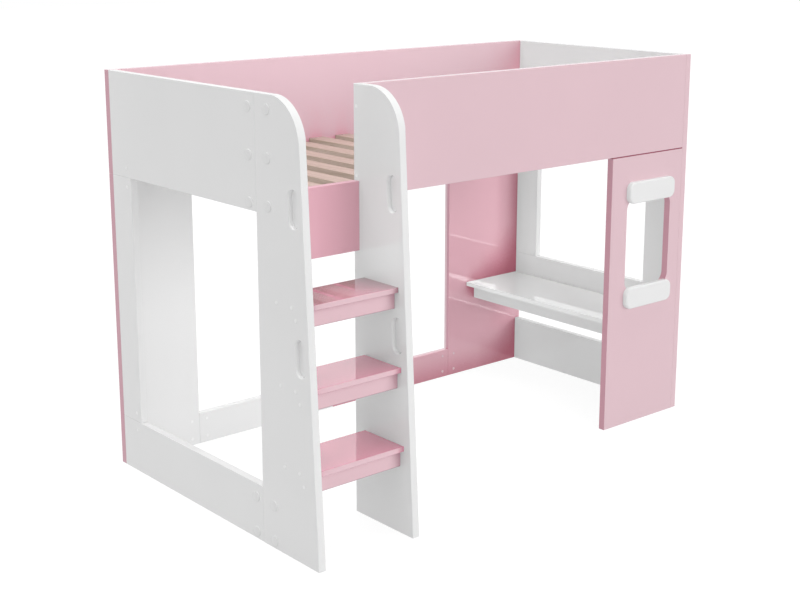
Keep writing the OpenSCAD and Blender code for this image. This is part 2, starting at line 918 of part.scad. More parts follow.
module cam_barrels() {
    place() color(zinc)
        for (c = cams)
            set_at(c[0], c[1], c[2])
                cam_form(c[3]);
}

module cam_bolts() {
    place() color(zinc)
        for (c = cams)
            set_at(c[0], c[1], c[2])
                cam_bolt_form(c[3]);
}

module board_screws() {
    place() color(zinc)
        for (s = board_screw_places)
            set_at(s[0], s[1], square_to(s[1]))
                board_screw_form();
}

module wood_screws() {
    place() color(zinc)
        for (s = wood_screw_places)
            set_at(s[0], s[1], square_to(s[1]))
                wood_screw_form(s[2], 0);
}

module screw_cover_caps() {
    place() color(lacquer_white) {
        for (s = board_screw_places)
            set_at(s[0], square_to(s[1]), s[1])
                cover(screw_cap, board_screw_head, screw_cap_stand);
        for (c = cams, side = c[3] ? [-1, 1] : [1])
            set_at(c[0] + side * cam_seat * c[1], c[1], c[2])
                cover(screw_cap, board_screw_head, screw_cap_stand);
    }
}

module dowels() {
    place() color(beech)
        for (d = dowel_places)
            set_at(d[0], d[1], square_to(d[1]))
                dowel_form(0);
}

left_upper_panel();
left_lower_rail();
left_back_post();
ladder_stringer_left();
ladder_stringer_right();
ladder_bay_rail();
tread(0);  // tread_lower
tread(1);  // tread_middle
tread(2);  // tread_upper
riser(0);  // riser_lower
riser(1);  // riser_middle
riser(2);  // riser_upper
front_guard();
desk_side_panel();
window_bar_upper();
window_bar_lower();
right_front_post();
right_upper_panel();
right_back_post();
right_mid_rail();
right_lower_rail();
back_guard();
back_left_post();
back_right_post();
back_rail_left();
back_rail_right();
desk_top();
desk_apron();
desk_cleat_end();
desk_cleat_back();
desk_cleat_front();
slat_ledger_front();
slat_ledger_back();
connector_cover_caps();
connector_bolts();
connector_nuts();
connector_saddles();
cam_barrels();
cam_bolts();
board_screws();
wood_screws();
screw_cover_caps();
dowels();
for (i = [0:slat_count - 1])
    slat(i);
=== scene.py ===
# Cabin bed of lacquered boards: ends, back, ladder, front with its window, desk, slats, covers
# and hidden fittings, then the floor, the room, the light and the camera.
import math

import bpy
from mathutils import Euler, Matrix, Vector


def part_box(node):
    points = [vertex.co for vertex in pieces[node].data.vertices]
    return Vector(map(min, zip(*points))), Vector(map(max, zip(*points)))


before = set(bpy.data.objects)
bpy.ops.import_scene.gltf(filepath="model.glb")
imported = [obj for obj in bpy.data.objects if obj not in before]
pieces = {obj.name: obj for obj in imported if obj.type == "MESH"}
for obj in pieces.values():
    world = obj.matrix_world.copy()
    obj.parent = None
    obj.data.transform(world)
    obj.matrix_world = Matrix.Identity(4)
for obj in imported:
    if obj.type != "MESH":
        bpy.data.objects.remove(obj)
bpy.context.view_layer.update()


# ---- White boards of the two ends ----
# Guards, posts and rails are boards with eased edges, sprayed with a semi-gloss white lacquer.
# They stand on the floor and meet edge to edge, drawn together by the panel connectors.
def socket_in(group, kind, name, value):
    made = group.interface.new_socket(name, in_out="INPUT", socket_type=kind)
    made.default_value = value


def socket_out(group, kind, name):
    group.interface.new_socket(name, in_out="OUTPUT", socket_type=kind)


def lay_node(tree, kind, place, **settings):
    """Adds a node at a column and a row of the tree's sheet."""
    column_width, row_height = 190, 170
    made = tree.nodes.new(kind)
    made.location = (place[0] * column_width, place[1] * -row_height)
    for name, value in settings.items():
        setattr(made, name, value)
    return made


def band(tree, mask, low, high, place, out_low=0.0, out_high=1.0):
    """Spreads what lies between two values of a mask over an output band, clamped."""
    spread = lay_node(tree, "ShaderNodeMapRange", place, clamp=True)
    tree.links.new(mask, spread.inputs["Value"])
    limits = {"From Min": low, "From Max": high, "To Min": out_low, "To Max": out_high}
    for name, value in limits.items():
        spread.inputs[name].default_value = value
    return spread.outputs["Result"]


def blend_colours(tree, mask, under, over, place):
    """Lays one colour over another where the mask is up."""
    mix = lay_node(tree, "ShaderNodeMix", place, data_type="RGBA", clamp_factor=True)
    tree.links.new(mask, mix.inputs["Factor"])
    colour_a, colour_b, colour_result = 6, 7, 2  # by number, because the Mix node repeats its names
    for value, number in ((under, colour_a), (over, colour_b)):
        if isinstance(value, bpy.types.NodeSocket):
            tree.links.new(value, mix.inputs[number])
        else:
            mix.inputs[number].default_value = (*value, 1.0)
    return mix.outputs[colour_result]


def shade(colour, factor):
    return tuple(channel * factor for channel in colour)


def eased_edge_group():
    """Masks the eased edges of a board, which carry painted shade for the seams, and the places
    where hands rub them.
    """
    group = bpy.data.node_groups.new("eased_edge", "ShaderNodeTree")
    socket_in(group, "NodeSocketFloat", "Reach", 0.003)
    socket_in(group, "NodeSocketFloat", "Rub Scale", 22.0)
    socket_out(group, "NodeSocketFloat", "Edge")
    socket_out(group, "NodeSocketFloat", "Rubbed")
    given = lay_node(group, "NodeGroupInput", (0, 0))
    rolled = lay_node(group, "ShaderNodeBevel", (1, 0), samples=4)
    group.links.new(given.outputs["Reach"], rolled.inputs["Radius"])
    plain = lay_node(group, "ShaderNodeNewGeometry", (1, 1))
    turn = lay_node(group, "ShaderNodeVectorMath", (2, 0), operation="DOT_PRODUCT")
    group.links.new(rolled.outputs["Normal"], turn.inputs[0])
    group.links.new(plain.outputs["Normal"], turn.inputs[1])
    still_flat, rolled_over = 0.998, 0.86
    edge = band(group, turn.outputs["Value"], still_flat, rolled_over, (3, 0))
    place = lay_node(group, "ShaderNodeTexCoord", (0, 2))
    rub = lay_node(group, "ShaderNodeTexNoise", (2, 2))
    rub.inputs["Detail"].default_value = 3.0
    group.links.new(place.outputs["Object"], rub.inputs["Vector"])
    group.links.new(given.outputs["Rub Scale"], rub.inputs["Scale"])
    untouched, well_rubbed = 0.46, 0.64
    patches = band(group, rub.outputs["Fac"], untouched, well_rubbed, (3, 2))
    rubbed = lay_node(group, "ShaderNodeMath", (4, 1), operation="MULTIPLY")
    group.links.new(edge, rubbed.inputs[0])
    group.links.new(patches, rubbed.inputs[1])
    told = lay_node(group, "NodeGroupOutput", (5, 0))
    group.links.new(edge, told.inputs["Edge"])
    group.links.new(rubbed.outputs[0], told.inputs["Rubbed"])
    return group


def sprayed_film_group():
    """Sprayed lacquer: slow clouds of tone, a fine orange peel and small changes of gloss."""
    group = bpy.data.node_groups.new("sprayed_film", "ShaderNodeTree")
    socket_in(group, "NodeSocketFloat", "Cloud Scale", 2.2)
    socket_in(group, "NodeSocketFloat", "Peel Scale", 210.0)
    socket_in(group, "NodeSocketFloat", "Gloss Low", 0.2)
    socket_in(group, "NodeSocketFloat", "Gloss High", 0.3)
    socket_out(group, "NodeSocketFloat", "Clouds")
    socket_out(group, "NodeSocketFloat", "Roughness")
    socket_out(group, "NodeSocketFloat", "Peel")
    given = lay_node(group, "NodeGroupInput", (0, 0))
    place = lay_node(group, "ShaderNodeTexCoord", (0, 2))
    clouds = lay_node(group, "ShaderNodeTexNoise", (1, 0))
    clouds.inputs["Detail"].default_value = 4.0
    peel = lay_node(group, "ShaderNodeTexNoise", (1, 1))
    peel.inputs["Detail"].default_value = 2.0
    peel.inputs["Roughness"].default_value = 0.4
    smears = lay_node(group, "ShaderNodeTexNoise", (1, 2))
    smears.inputs["Scale"].default_value = 7.0
    smears.inputs["Detail"].default_value = 5.0
    for noise in (clouds, peel, smears):
        group.links.new(place.outputs["Object"], noise.inputs["Vector"])
    group.links.new(given.outputs["Cloud Scale"], clouds.inputs["Scale"])
    group.links.new(given.outputs["Peel Scale"], peel.inputs["Scale"])
    gloss = lay_node(group, "ShaderNodeMapRange", (2, 2), clamp=True)
    gloss.inputs["From Min"].default_value = 0.35
    gloss.inputs["From Max"].default_value = 0.65
    group.links.new(smears.outputs["Fac"], gloss.inputs["Value"])
    group.links.new(given.outputs["Gloss Low"], gloss.inputs["To Min"])
    group.links.new(given.outputs["Gloss High"], gloss.inputs["To Max"])
    clear, clouded = 0.3, 0.7
    cloud_mask = band(group, clouds.outputs["Fac"], clear, clouded, (2, 0))
    told = lay_node(group, "NodeGroupOutput", (4, 0))
    group.links.new(cloud_mask, told.inputs["Clouds"])
    group.links.new(gloss.outputs["Result"], told.inputs["Roughness"])
    group.links.new(peel.outputs["Fac"], told.inputs["Peel"])
    return group


eased_edge = eased_edge_group()
sprayed_film = sprayed_film_group()


def calm_bounce(tree, paint, grey, mirror_share, place):
    """Shows the paint as an even grey to the boards beside it, so that it doesn't tint them, and
    pales its mirror image towards that grey by a share."""
    column, row = place
    path = lay_node(tree, "ShaderNodeLightPath", place)
    paled = lay_node(tree, "ShaderNodeMath", (column + 1, row), operation="MULTIPLY_ADD")
    tree.links.new(path.outputs["Is Glossy Ray"], paled.inputs[0])
    paled.inputs[1].default_value = mirror_share
    tree.links.new(path.outputs["Is Diffuse Ray"], paled.inputs[2])
    return blend_colours(tree, paled.outputs[0], paint, (grey, grey, grey), (column + 2, row))


def lacquer(name, colour, coat=1.0, coat_roughness=0.008, coat_ior=1.5, gloss=(0.36, 0.46),
            sheen=0.2, layers=(), bounce=0.93, mirror_share=0.0):
    """Lacquer under a clear coat, with painted shade on the eased edges and rubbed pale in places.
    The layers are functions that lay other colours over it, such as edge bands. Bounce is the grey
    that the boards beside it see, and mirror_share is how far its mirror image pales to that grey."""
    first_layer_row, rows_per_layer = 4, 2
    cloud_deep, cloud_pale, edge_shade, rubbed_edge = 0.985, 1.012, 0.92, 1.03
    peel_strength, peel_height = 0.012, 0.0004
    material = bpy.data.materials.new(name)
    material.use_nodes = True
    tree = material.node_tree
    skin = tree.nodes["Principled BSDF"]
    skin.location = (1500, 0)
    film = lay_node(tree, "ShaderNodeGroup", (0, 0), node_tree=sprayed_film)
    film.inputs["Gloss Low"].default_value, film.inputs["Gloss High"].default_value = gloss
    edge = lay_node(tree, "ShaderNodeGroup", (0, 2), node_tree=eased_edge)
    paint = blend_colours(tree, film.outputs["Clouds"], shade(colour, cloud_deep),
                          shade(colour, cloud_pale), (2, 0))
    # Painted shade on the eased edges, which darkens the seams between the boards.
    paint = blend_colours(tree, edge.outputs["Edge"], paint, shade(colour, edge_shade), (3, 1))
    paint = blend_colours(tree, edge.outputs["Rubbed"], paint, shade(colour, rubbed_edge), (3, 2))
    for count, lay_over in enumerate(layers):
        paint = lay_over(tree, paint, first_layer_row + rows_per_layer * count)
    tree.links.new(calm_bounce(tree, paint, bounce, mirror_share, (5, 5)),
                   skin.inputs["Base Color"])
    tree.links.new(film.outputs["Roughness"], skin.inputs["Roughness"])
    skin.inputs["Coat Weight"].default_value = coat
    skin.inputs["Coat Roughness"].default_value = coat_roughness
    skin.inputs["Coat IOR"].default_value = coat_ior
    skin.inputs["Specular IOR Level"].default_value = sheen
    bump = lay_node(tree, "ShaderNodeBump", (6, 2))
    bump.inputs["Strength"].default_value = peel_strength
    bump.inputs["Distance"].default_value = peel_height
    tree.links.new(film.outputs["Peel"], bump.inputs["Height"])
    tree.links.new(bump.outputs["Normal"], skin.inputs["Normal"])
    return material


def finish_nodes(names, material):
    for name in names:
        pieces[name].data.materials.clear()
        pieces[name].data.materials.append(material)


white_paint = (0.88, 0.88, 0.88)
white_lacquer = lacquer("white_lacquer", white_paint)
finish_nodes(["left_upper_panel", "left_lower_rail", "left_back_post", "right_upper_panel",
              "right_back_post", "right_mid_rail", "right_lower_rail"], white_lacquer)


# ---- Front post of the right end ----
# A full-height white board that stands behind the front guard's end. Its front edge carries a
# pink edge band, so that the guard's colour runs on across the corner.
def beyond_plane_group():
    """Masks what lies beyond a plane, such as the edge band at a board's end."""
    group = bpy.data.node_groups.new("beyond_plane", "ShaderNodeTree")
    socket_in(group, "NodeSocketVector", "Direction", (1.0, 0.0, 0.0))
    socket_in(group, "NodeSocketFloat", "Distance", 0.0)
    socket_out(group, "NodeSocketFloat", "Beyond")
    given = lay_node(group, "NodeGroupInput", (0, 0))
    spot = lay_node(group, "ShaderNodeTexCoord", (0, 1))
    along = lay_node(group, "ShaderNodeVectorMath", (1, 0), operation="DOT_PRODUCT")
    group.links.new(spot.outputs["Object"], along.inputs[0])
    group.links.new(given.outputs["Direction"], along.inputs[1])
    past = lay_node(group, "ShaderNodeMath", (2, 0), operation="GREATER_THAN")
    group.links.new(along.outputs["Value"], past.inputs[0])
    group.links.new(given.outputs["Distance"], past.inputs[1])
    told = lay_node(group, "NodeGroupOutput", (3, 0))
    group.links.new(past.outputs[0], told.inputs["Beyond"])
    return group


beyond_plane = beyond_plane_group()
directions = {"X": (1.0, 0.0, 0.0), "Y": (0.0, 1.0, 0.0), "Z": (0.0, 0.0, 1.0)}


def past_plane(tree, axis, side, limit, place):
    """Mask beyond a plane across one axis: above the limit for side 1, below it for side -1."""
    mask = lay_node(tree, "ShaderNodeGroup", place, node_tree=beyond_plane)
    mask.inputs["Direction"].default_value = [side * part for part in directions[axis]]
    mask.inputs["Distance"].default_value = side * limit
    return mask.outputs["Beyond"]


def edge_band(axis, side, limit, colour):
    """Layer of another colour beyond a plane, such as the band on a board's edge."""
    def lay_over(tree, paint, row):
        beyond = past_plane(tree, axis, side, limit, (0, row))
        return blend_colours(tree, beyond, paint, colour, (4, row))
    return lay_over


pink_paint = (0.79, 0.55, 0.605)
band_thickness = 0.0012
post_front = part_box("right_front_post")[0].y
finish_nodes(["right_front_post"],
             lacquer("white_lacquer_pink_front", white_paint,
                     layers=[edge_band("Y", -1, post_front + band_thickness, pink_paint)]))


# ---- Back ----
# A full-length pink guard on two uprights, over a floor rail in a white and a pink length.
# The left upright is white with a pink band on its outer edge, the right one is pink. The pink
# boards have deeper pink bands at their ends, with painted shade in them, and painted shade in
# the corners. The right upright and the pink rail have a deeper pink, painted shade, on their
# inner half.
def turned_face_group():
    """Masks the faces that look along one direction or against it, such as a board's two ends."""
    group = bpy.data.node_groups.new("turned_face", "ShaderNodeTree")
    socket_in(group, "NodeSocketVector", "Direction", (1.0, 0.0, 0.0))
    socket_out(group, "NodeSocketFloat", "Turned")
    given = lay_node(group, "NodeGroupInput", (0, 0))
    face = lay_node(group, "ShaderNodeNewGeometry", (0, 1))
    along = lay_node(group, "ShaderNodeVectorMath", (1, 0), operation="DOT_PRODUCT")
    group.links.new(face.outputs["Normal"], along.inputs[0])
    group.links.new(given.outputs["Direction"], along.inputs[1])
    size = lay_node(group, "ShaderNodeMath", (2, 0), operation="ABSOLUTE")
    group.links.new(along.outputs["Value"], size.inputs[0])
    turned_away, turned_to = 0.6, 0.8
    turned = band(group, size.outputs[0], turned_away, turned_to, (3, 0))
    told = lay_node(group, "NodeGroupOutput", (4, 0))
    group.links.new(turned, told.inputs["Turned"])
    return group


def corner_shade_mask_group():
    """Masks the corners where boards stand close together, for the painted shade there."""
    group = bpy.data.node_groups.new("corner_shade_mask", "ShaderNodeTree")
    socket_in(group, "NodeSocketFloat", "Reach", 0.3)
    socket_in(group, "NodeSocketFloat", "Open Above", 0.75)
    socket_in(group, "NodeSocketFloat", "Full Below", 0.42)
    socket_out(group, "NodeSocketFloat", "Corner Shade")
    given = lay_node(group, "NodeGroupInput", (0, 0))
    open_sky = lay_node(group, "ShaderNodeAmbientOcclusion", (1, 0), samples=8)
    group.links.new(given.outputs["Reach"], open_sky.inputs["Distance"])
    share = lay_node(group, "ShaderNodeMapRange", (2, 0), clamp=True)
    group.links.new(open_sky.outputs["AO"], share.inputs["Value"])
    group.links.new(given.outputs["Open Above"], share.inputs["From Min"])
    group.links.new(given.outputs["Full Below"], share.inputs["From Max"])
    told = lay_node(group, "NodeGroupOutput", (3, 0))
    group.links.new(share.outputs["Result"], told.inputs["Corner Shade"])
    return group


turned_face = turned_face_group()
corner_shade_mask = corner_shade_mask_group()


def facing(tree, axis, place):
    mask = lay_node(tree, "ShaderNodeGroup", place, node_tree=turned_face)
    mask.inputs["Direction"].default_value = directions[axis]
    return mask.outputs["Turned"]


def banded_ends(colour):
    """Layer of another colour on the faces that look along the bed."""
    def lay_over(tree, paint, row):
        return blend_colours(tree, facing(tree, "X", (0, row)), paint, colour, (4, row))
    return lay_over


def painted_corner_shade(colour, reach, open_above, full_below):
    """Layer of painted shade in the corners, in a deeper tone. It starts where less than open_above
    of the space within reach is free, and is full where less than full_below is."""
    def lay_over(tree, paint, row):
        corners = lay_node(tree, "ShaderNodeGroup", (0, row), node_tree=corner_shade_mask)
        corners.inputs["Reach"].default_value = reach
        corners.inputs["Open Above"].default_value = open_above
        corners.inputs["Full Below"].default_value = full_below
        return blend_colours(tree, corners.outputs["Corner Shade"], paint, colour, (4, row))
    return lay_over


# The pink edge band at the boards' ends: a band colour, deepened by painted shade of the end faces.
pink_band_and_shade = (0.64, 0.31, 0.385)
# Painted shade in the back guard's corners, a deeper pink.
guard_corner_shade = (0.86, 0.36, 0.45)
finish_nodes(["back_guard"],
             lacquer("pink_lacquer_back_guard", pink_paint,
                     layers=[banded_ends(pink_band_and_shade),
                             painted_corner_shade(guard_corner_shade, 0.42, open_above=0.78, full_below=0.4)]))

# Painted shade: the right upright and the pink rail are a deeper pink on their inner half, with a
# darker painted shade in the corners; their outer half has the guards' pink.
shaded_inner_pink = (0.83, 0.45, 0.53)
inner_corner_shade = (0.56, 0.12, 0.19)
back_middle = sum(corner.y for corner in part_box("back_right_post")) / 2
finish_nodes(["back_right_post", "back_rail_right"],
             lacquer("pink_lacquer_back", shaded_inner_pink, coat_ior=1.6,
                     layers=[banded_ends(pink_band_and_shade),
                             painted_corner_shade(inner_corner_shade, 0.25, open_above=0.75, full_below=0.42),
                             edge_band("Y", 1, back_middle, pink_paint)],
                     mirror_share=0.85))

upright_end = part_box("back_left_post")[0].x
finish_nodes(["back_left_post"],
             lacquer("white_lacquer_pink_end", white_paint,
                     layers=[edge_band("X", -1, upright_end + band_thickness, pink_band_and_shade)]))
finish_nodes(["back_rail_left"], white_lacquer)

# ---- Ladder stringers ----
# Two white boards with a leaning front edge, a round top corner and two hand grooves each.
# The left one is part of the left end, the right one is fixed to the front guard.
finish_nodes(["ladder_stringer_left", "ladder_stringer_right"], white_lacquer)


# ---- Treads ----
# Three pink boards with a high gloss, screwed in between the stringers, with a rolled nose.
# Their tops mirror the boards and the room around them. A deeper tone is painted on them where
# they are seen at a low angle, and painted shade beside the stringers, darkest on the upper tread.
def tread_top(colour, low_colour):
    """Layer on the top of a tread, which turns to another tone where it is seen at a low angle."""
    from_above, from_the_side = 0.3, 0.65

    def lay_over(tree, paint, row):
        glance = lay_node(tree, "ShaderNodeLayerWeight", (0, row + 1))
        glance.inputs["Blend"].default_value = 0.5
        low = band(tree, glance.outputs["Facing"], from_above, from_the_side, (1, row + 1))
        tone = blend_colours(tree, low, colour, low_colour, (2, row + 1))
        return blend_colours(tree, facing(tree, "Z", (0, row)), paint, tone, (4, row))
    return lay_over


mirror_ior = 2.2
mirror_gloss = (0.02, 0.04)
tread_nose_paint = (0.78, 0.46, 0.53)
tread_top_paint = (0.78, 0.42, 0.50)
# Painted tones: deeper at a low angle, and painted shade beside the stringers, darker on the upper
# tread.
tread_tones = {  # at a low angle, and beside the stringers
    "tread_lower": ((0.88, 0.22, 0.35), (0.72, 0.14, 0.27)),
    "tread_middle": ((0.88, 0.22, 0.35), (0.72, 0.14, 0.27)),
    "tread_upper": ((0.77, 0.23, 0.34), (0.26, 0.03, 0.08)),
}
for tread, (low_tone, shade_by_stringer) in tread_tones.items():
    finish_nodes([tread],
                 lacquer("pink_lacquer_" + tread, tread_nose_paint, coat_ior=mirror_ior,
                         gloss=mirror_gloss, sheen=0.8,
                         layers=[tread_top(tread_top_paint, low_tone),
                                 painted_corner_shade(shade_by_stringer, 0.2, open_above=0.95, full_below=0.5)],
                         bounce=0.75))

# ---- Risers ----
# A pink board under each tread, set back behind its nose and screwed in between the stringers.
# Painted shade deepens its colour under the nose, and its colour is deeper along its foot.
riser_paint = (0.84, 0.56, 0.62)
shade_under_nose = (0.62, 0.31, 0.39)
foot_line = (0.56, 0.33, 0.38)
foot_line_height = 0.0028
for riser in ("riser_lower", "riser_middle", "riser_upper"):
    riser_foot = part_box(riser)[0].z
    finish_nodes([riser],
                 lacquer("pink_lacquer_" + riser, riser_paint,
                         layers=[painted_corner_shade(shade_under_nose, 0.04, open_above=0.85, full_below=0.42),
                                 edge_band("Z", -1, riser_foot + foot_line_height, foot_line)],
                         bounce=0.6))

# ---- Rail of the ladder bay ----
# A pink board between the stringers, under the mattress, that closes the bay below the way in.
# It stands inside the bay, and its pink is painted deeper than the guards', as painted shade.
bay_shaded_pink = (0.78, 0.41, 0.49)
finish_nodes(["ladder_bay_rail"], lacquer("pink_lacquer_bay", bay_shaded_pink))

# ---- Front ----
# The long pink guard and, under its right end, the desk's side panel with a rounded window.
# Two white bars with rolled edges cross the window's head and sill. The panel's top edge, in
# the seam under the guard, carries a painted shade that reads as a dark line.
finish_nodes(["front_guard"], lacquer("pink_lacquer", pink_paint, layers=[banded_ends(pink_band_and_shade)]))

guard_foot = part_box("front_guard")[0].z
seam_line_shade = (0.30, 0.04, 0.08)
seam_reach = 0.0045
finish_nodes(["desk_side_panel"],
             lacquer("pink_lacquer_side_panel", pink_paint,
                     layers=[banded_ends(pink_band_and_shade),
                             edge_band("Z", 1, guard_foot - seam_reach, seam_line_shade)]))
finish_nodes(["window_bar_upper", "window_bar_lower"], lacquer("white_lacquer_bars", white_paint))

# ---- Desk ----
# A white top with a high gloss, screwed down on battens across the bed's right end, its white
# painted paler as painted light. An apron board stiffens it from below, a little behind its
# front edge, and stands in the top's shade, which is painted into its greyer white.
desk_lit_white = (0.94, 0.94, 0.94)
apron_shaded_white = (0.82, 0.82, 0.82)
finish_nodes(["desk_top"],
             lacquer("white_lacquer_desk", desk_lit_white, coat_ior=mirror_ior, gloss=mirror_gloss,
                     sheen=0.4))
finish_nodes(["desk_apron"], lacquer("white_lacquer_apron", apron_shaded_white))


# ---- Slats, ledgers and battens ----
# Planed pine, clear sealed, with long fibres, darker late wood and a few small knots. The slats
# lie across the bed on two ledgers that are screwed to the guards, and battens carry the desk.
def long_grain_group():
    """Planed wood: long fibres, darker late wood and small knots, stretched along the piece."""
    group = bpy.data.node_groups.new("long_grain", "ShaderNodeTree")
    socket_in(group, "NodeSocketVector", "Stretch", (1.0, 14.0, 14.0))
    for name in ("Light Wood", "Late Wood", "Knot", "Fibre Tone"):
        socket_in(group, "NodeSocketColor", name, (0.5, 0.4, 0.3, 1.0))
    socket_out(group, "NodeSocketColor", "Wood")
    socket_out(group, "NodeSocketFloat", "Fibres")
    socket_out(group, "NodeSocketFloat", "Roughness")
    given = lay_node(group, "NodeGroupInput", (0, 0))
    place = lay_node(group, "ShaderNodeTexCoord", (0, 2))
    stretch = lay_node(group, "ShaderNodeVectorMath", (1, 0), operation="MULTIPLY")
    group.links.new(place.outputs["Object"], stretch.inputs[0])
    group.links.new(given.outputs["Stretch"], stretch.inputs[1])
    rings = lay_node(group, "ShaderNodeTexWave", (2, 0), wave_type="BANDS",
                     bands_direction="DIAGONAL")
    rings.inputs["Scale"].default_value = 1.6
    rings.inputs["Distortion"].default_value = 5.0
    rings.inputs["Detail"].default_value = 3.0
    rings.inputs["Detail Scale"].default_value = 1.2
    fibres = lay_node(group, "ShaderNodeTexNoise", (2, 1))
    fibres.inputs["Scale"].default_value = 24.0
    fibres.inputs["Detail"].default_value = 6.0
    knots = lay_node(group, "ShaderNodeTexVoronoi", (2, 2))
    knots.inputs["Scale"].default_value = 1.1
    for noise in (rings, fibres, knots):
        group.links.new(stretch.outputs["Vector"], noise.inputs["Vector"])
    early_ring, late_ring = 0.45, 0.95
    late = band(group, rings.outputs["Fac"], early_ring, late_ring, (3, 0))
    wood = blend_colours(group, late, given.outputs["Light Wood"], given.outputs["Late Wood"],
                         (4, 0))
    between_fibres, on_fibre = 0.52, 0.7
    fibre = band(group, fibres.outputs["Fac"], between_fibres, on_fibre, (3, 1))
    wood = blend_colours(group, fibre, wood, given.outputs["Fibre Tone"], (5, 0))
    knot_rim, knot_heart = 0.12, 0.05
    knot = band(group, knots.outputs["Distance"], knot_rim, knot_heart, (3, 2))
    wood = blend_colours(group, knot, wood, given.outputs["Knot"], (6, 0))
    smoothest, roughest = 0.46, 0.6
    told = lay_node(group, "NodeGroupOutput", (7, 0))
    group.links.new(wood, told.inputs["Wood"])
    group.links.new(fibres.outputs["Fac"], told.inputs["Fibres"])
    group.links.new(band(group, fibres.outputs["Fac"], 0.3, 0.7, (5, 2), smoothest, roughest),
                    told.inputs["Roughness"])
    return group


long_grain = long_grain_group()


def planed_wood(name, along, light_wood, late_wood, knot_wood):
    """Planed wood under a thin clear seal, with its fibres along one axis."""
    fibre_stretch, fibre_tone = 14.0, 0.96
    bounce, mirror_share = 0.6, 0.45
    material = bpy.data.materials.new(name)
    material.use_nodes = True
    tree = material.node_tree
    skin = tree.nodes["Principled BSDF"]
    grain = lay_node(tree, "ShaderNodeGroup", (-3, 0), node_tree=long_grain)
    stretch = [1.0 if axis == along else fibre_stretch for axis in "XYZ"]
    grain.inputs["Stretch"].default_value = stretch
    grain.inputs["Light Wood"].default_value = (*light_wood, 1.0)
    grain.inputs["Late Wood"].default_value = (*late_wood, 1.0)
    grain.inputs["Knot"].default_value = (*knot_wood, 1.0)
    grain.inputs["Fibre Tone"].default_value = (*shade(late_wood, fibre_tone), 1.0)
    tree.links.new(calm_bounce(tree, grain.outputs["Wood"], bounce, mirror_share, (-2, 4)),
                   skin.inputs["Base Color"])
    tree.links.new(grain.outputs["Roughness"], skin.inputs["Roughness"])
    bump = lay_node(tree, "ShaderNodeBump", (-1, 2))
    bump.inputs["Strength"].default_value = 0.25
    bump.inputs["Distance"].default_value = 0.0005
    tree.links.new(grain.outputs["Fibres"], bump.inputs["Height"])
    tree.links.new(bump.outputs["Normal"], skin.inputs["Normal"])
    skin.inputs["Coat Weight"].default_value = 0.5
    skin.inputs["Coat Roughness"].default_value = 0.15
    return material


pine_light = (0.56, 0.42, 0.345)
pine_late = (0.50, 0.37, 0.29)
pine_knot = (0.24, 0.13, 0.07)
slats = sorted(name for name in pieces if name.startswith("slat_") and name[5:].isdigit())
finish_nodes(slats + ["desk_cleat_end"],
             planed_wood("pine_slats", "Y", pine_light, pine_late, pine_knot))
finish_nodes(["slat_ledger_front", "slat_ledger_back", "desk_cleat_back", "desk_cleat_front"],
             planed_wood("pine_ledgers", "X", pine_light, pine_late, pine_knot))

# ---- Large covers ----
# Flat moulded discs of white plastic with a rolled rim, pressed into the round pockets of the
# panel connectors on both sides of the end seams.
cover_paint = (0.88, 0.88, 0.88)
cover_coat = {"coat": 0.2, "coat_roughness": 0.2, "gloss": (0.35, 0.5)}
finish_nodes(["connector_cover_caps"], lacquer("white_cover_plastic", cover_paint, **cover_coat))


# ---- Small covers ----
# Small discs of the same kind, pressed over the screws and into the mouths of the cam bores.
# Each matches the board it sits on: pink on the pink boards and white elsewhere.
def all_masks(tree, operation, masks, place):
    """Joins masks: MULTIPLY keeps what all of them hold, MAXIMUM what any of them holds."""
    column, row = place
    joined = masks[0]
    for count, mask in enumerate(masks[1:]):
        step = lay_node(tree, "ShaderNodeMath", (column + count, row), operation=operation)
        tree.links.new(joined, step.inputs[0])
        tree.links.new(mask, step.inputs[1])
        joined = step.outputs[0]
    return joined


def pink_covers(tree, paint, row):
    """Layer of pink on the covers that sit in pink boards: those in the back of the front guard
    and the bay rail, in the back guard, and in the right half of the bed behind the front."""
    hair = 0.0005
    guard_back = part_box("front_guard")[1].y
    right_end_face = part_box("right_front_post")[1].x
    behind_front = past_plane(tree, "Y", 1, guard_back - hair, (-8, row))
    not_on_the_end = past_plane(tree, "X", -1, right_end_face - hair, (-8, row + 2))
    right_half = past_plane(tree, "X", 1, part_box("back_rail_right")[0].x, (-8, row + 4))
    close_to_front = past_plane(tree, "Y", -1, guard_back + 3.0 * hair, (-8, row + 6))
    in_the_back = past_plane(tree, "Y", 1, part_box("back_guard")[0].y, (-8, row + 8))
    over_guard_foot = past_plane(tree, "Z", 1, guard_foot, (-8, row + 10))
    in_back_guard = all_masks(tree, "MULTIPLY", [in_the_back, over_guard_foot], (-4, row + 8))
    in_pink_board = all_masks(tree, "MAXIMUM", [right_half, close_to_front, in_back_guard],
                              (-4, row + 4))
    pink = all_masks(tree, "MULTIPLY", [behind_front, not_on_the_end, in_pink_board], (-2, row + 2))
    return blend_colours(tree, pink, paint, pink_paint, (4, row))


# The small covers' white is painted paler than the boards', as a painted highlight on their rims.
small_cover_lit_white = (0.97, 0.97, 0.97)
finish_nodes(["screw_cover_caps"],
             lacquer("two_cover_plastics", small_cover_lit_white, layers=[pink_covers], **cover_coat))


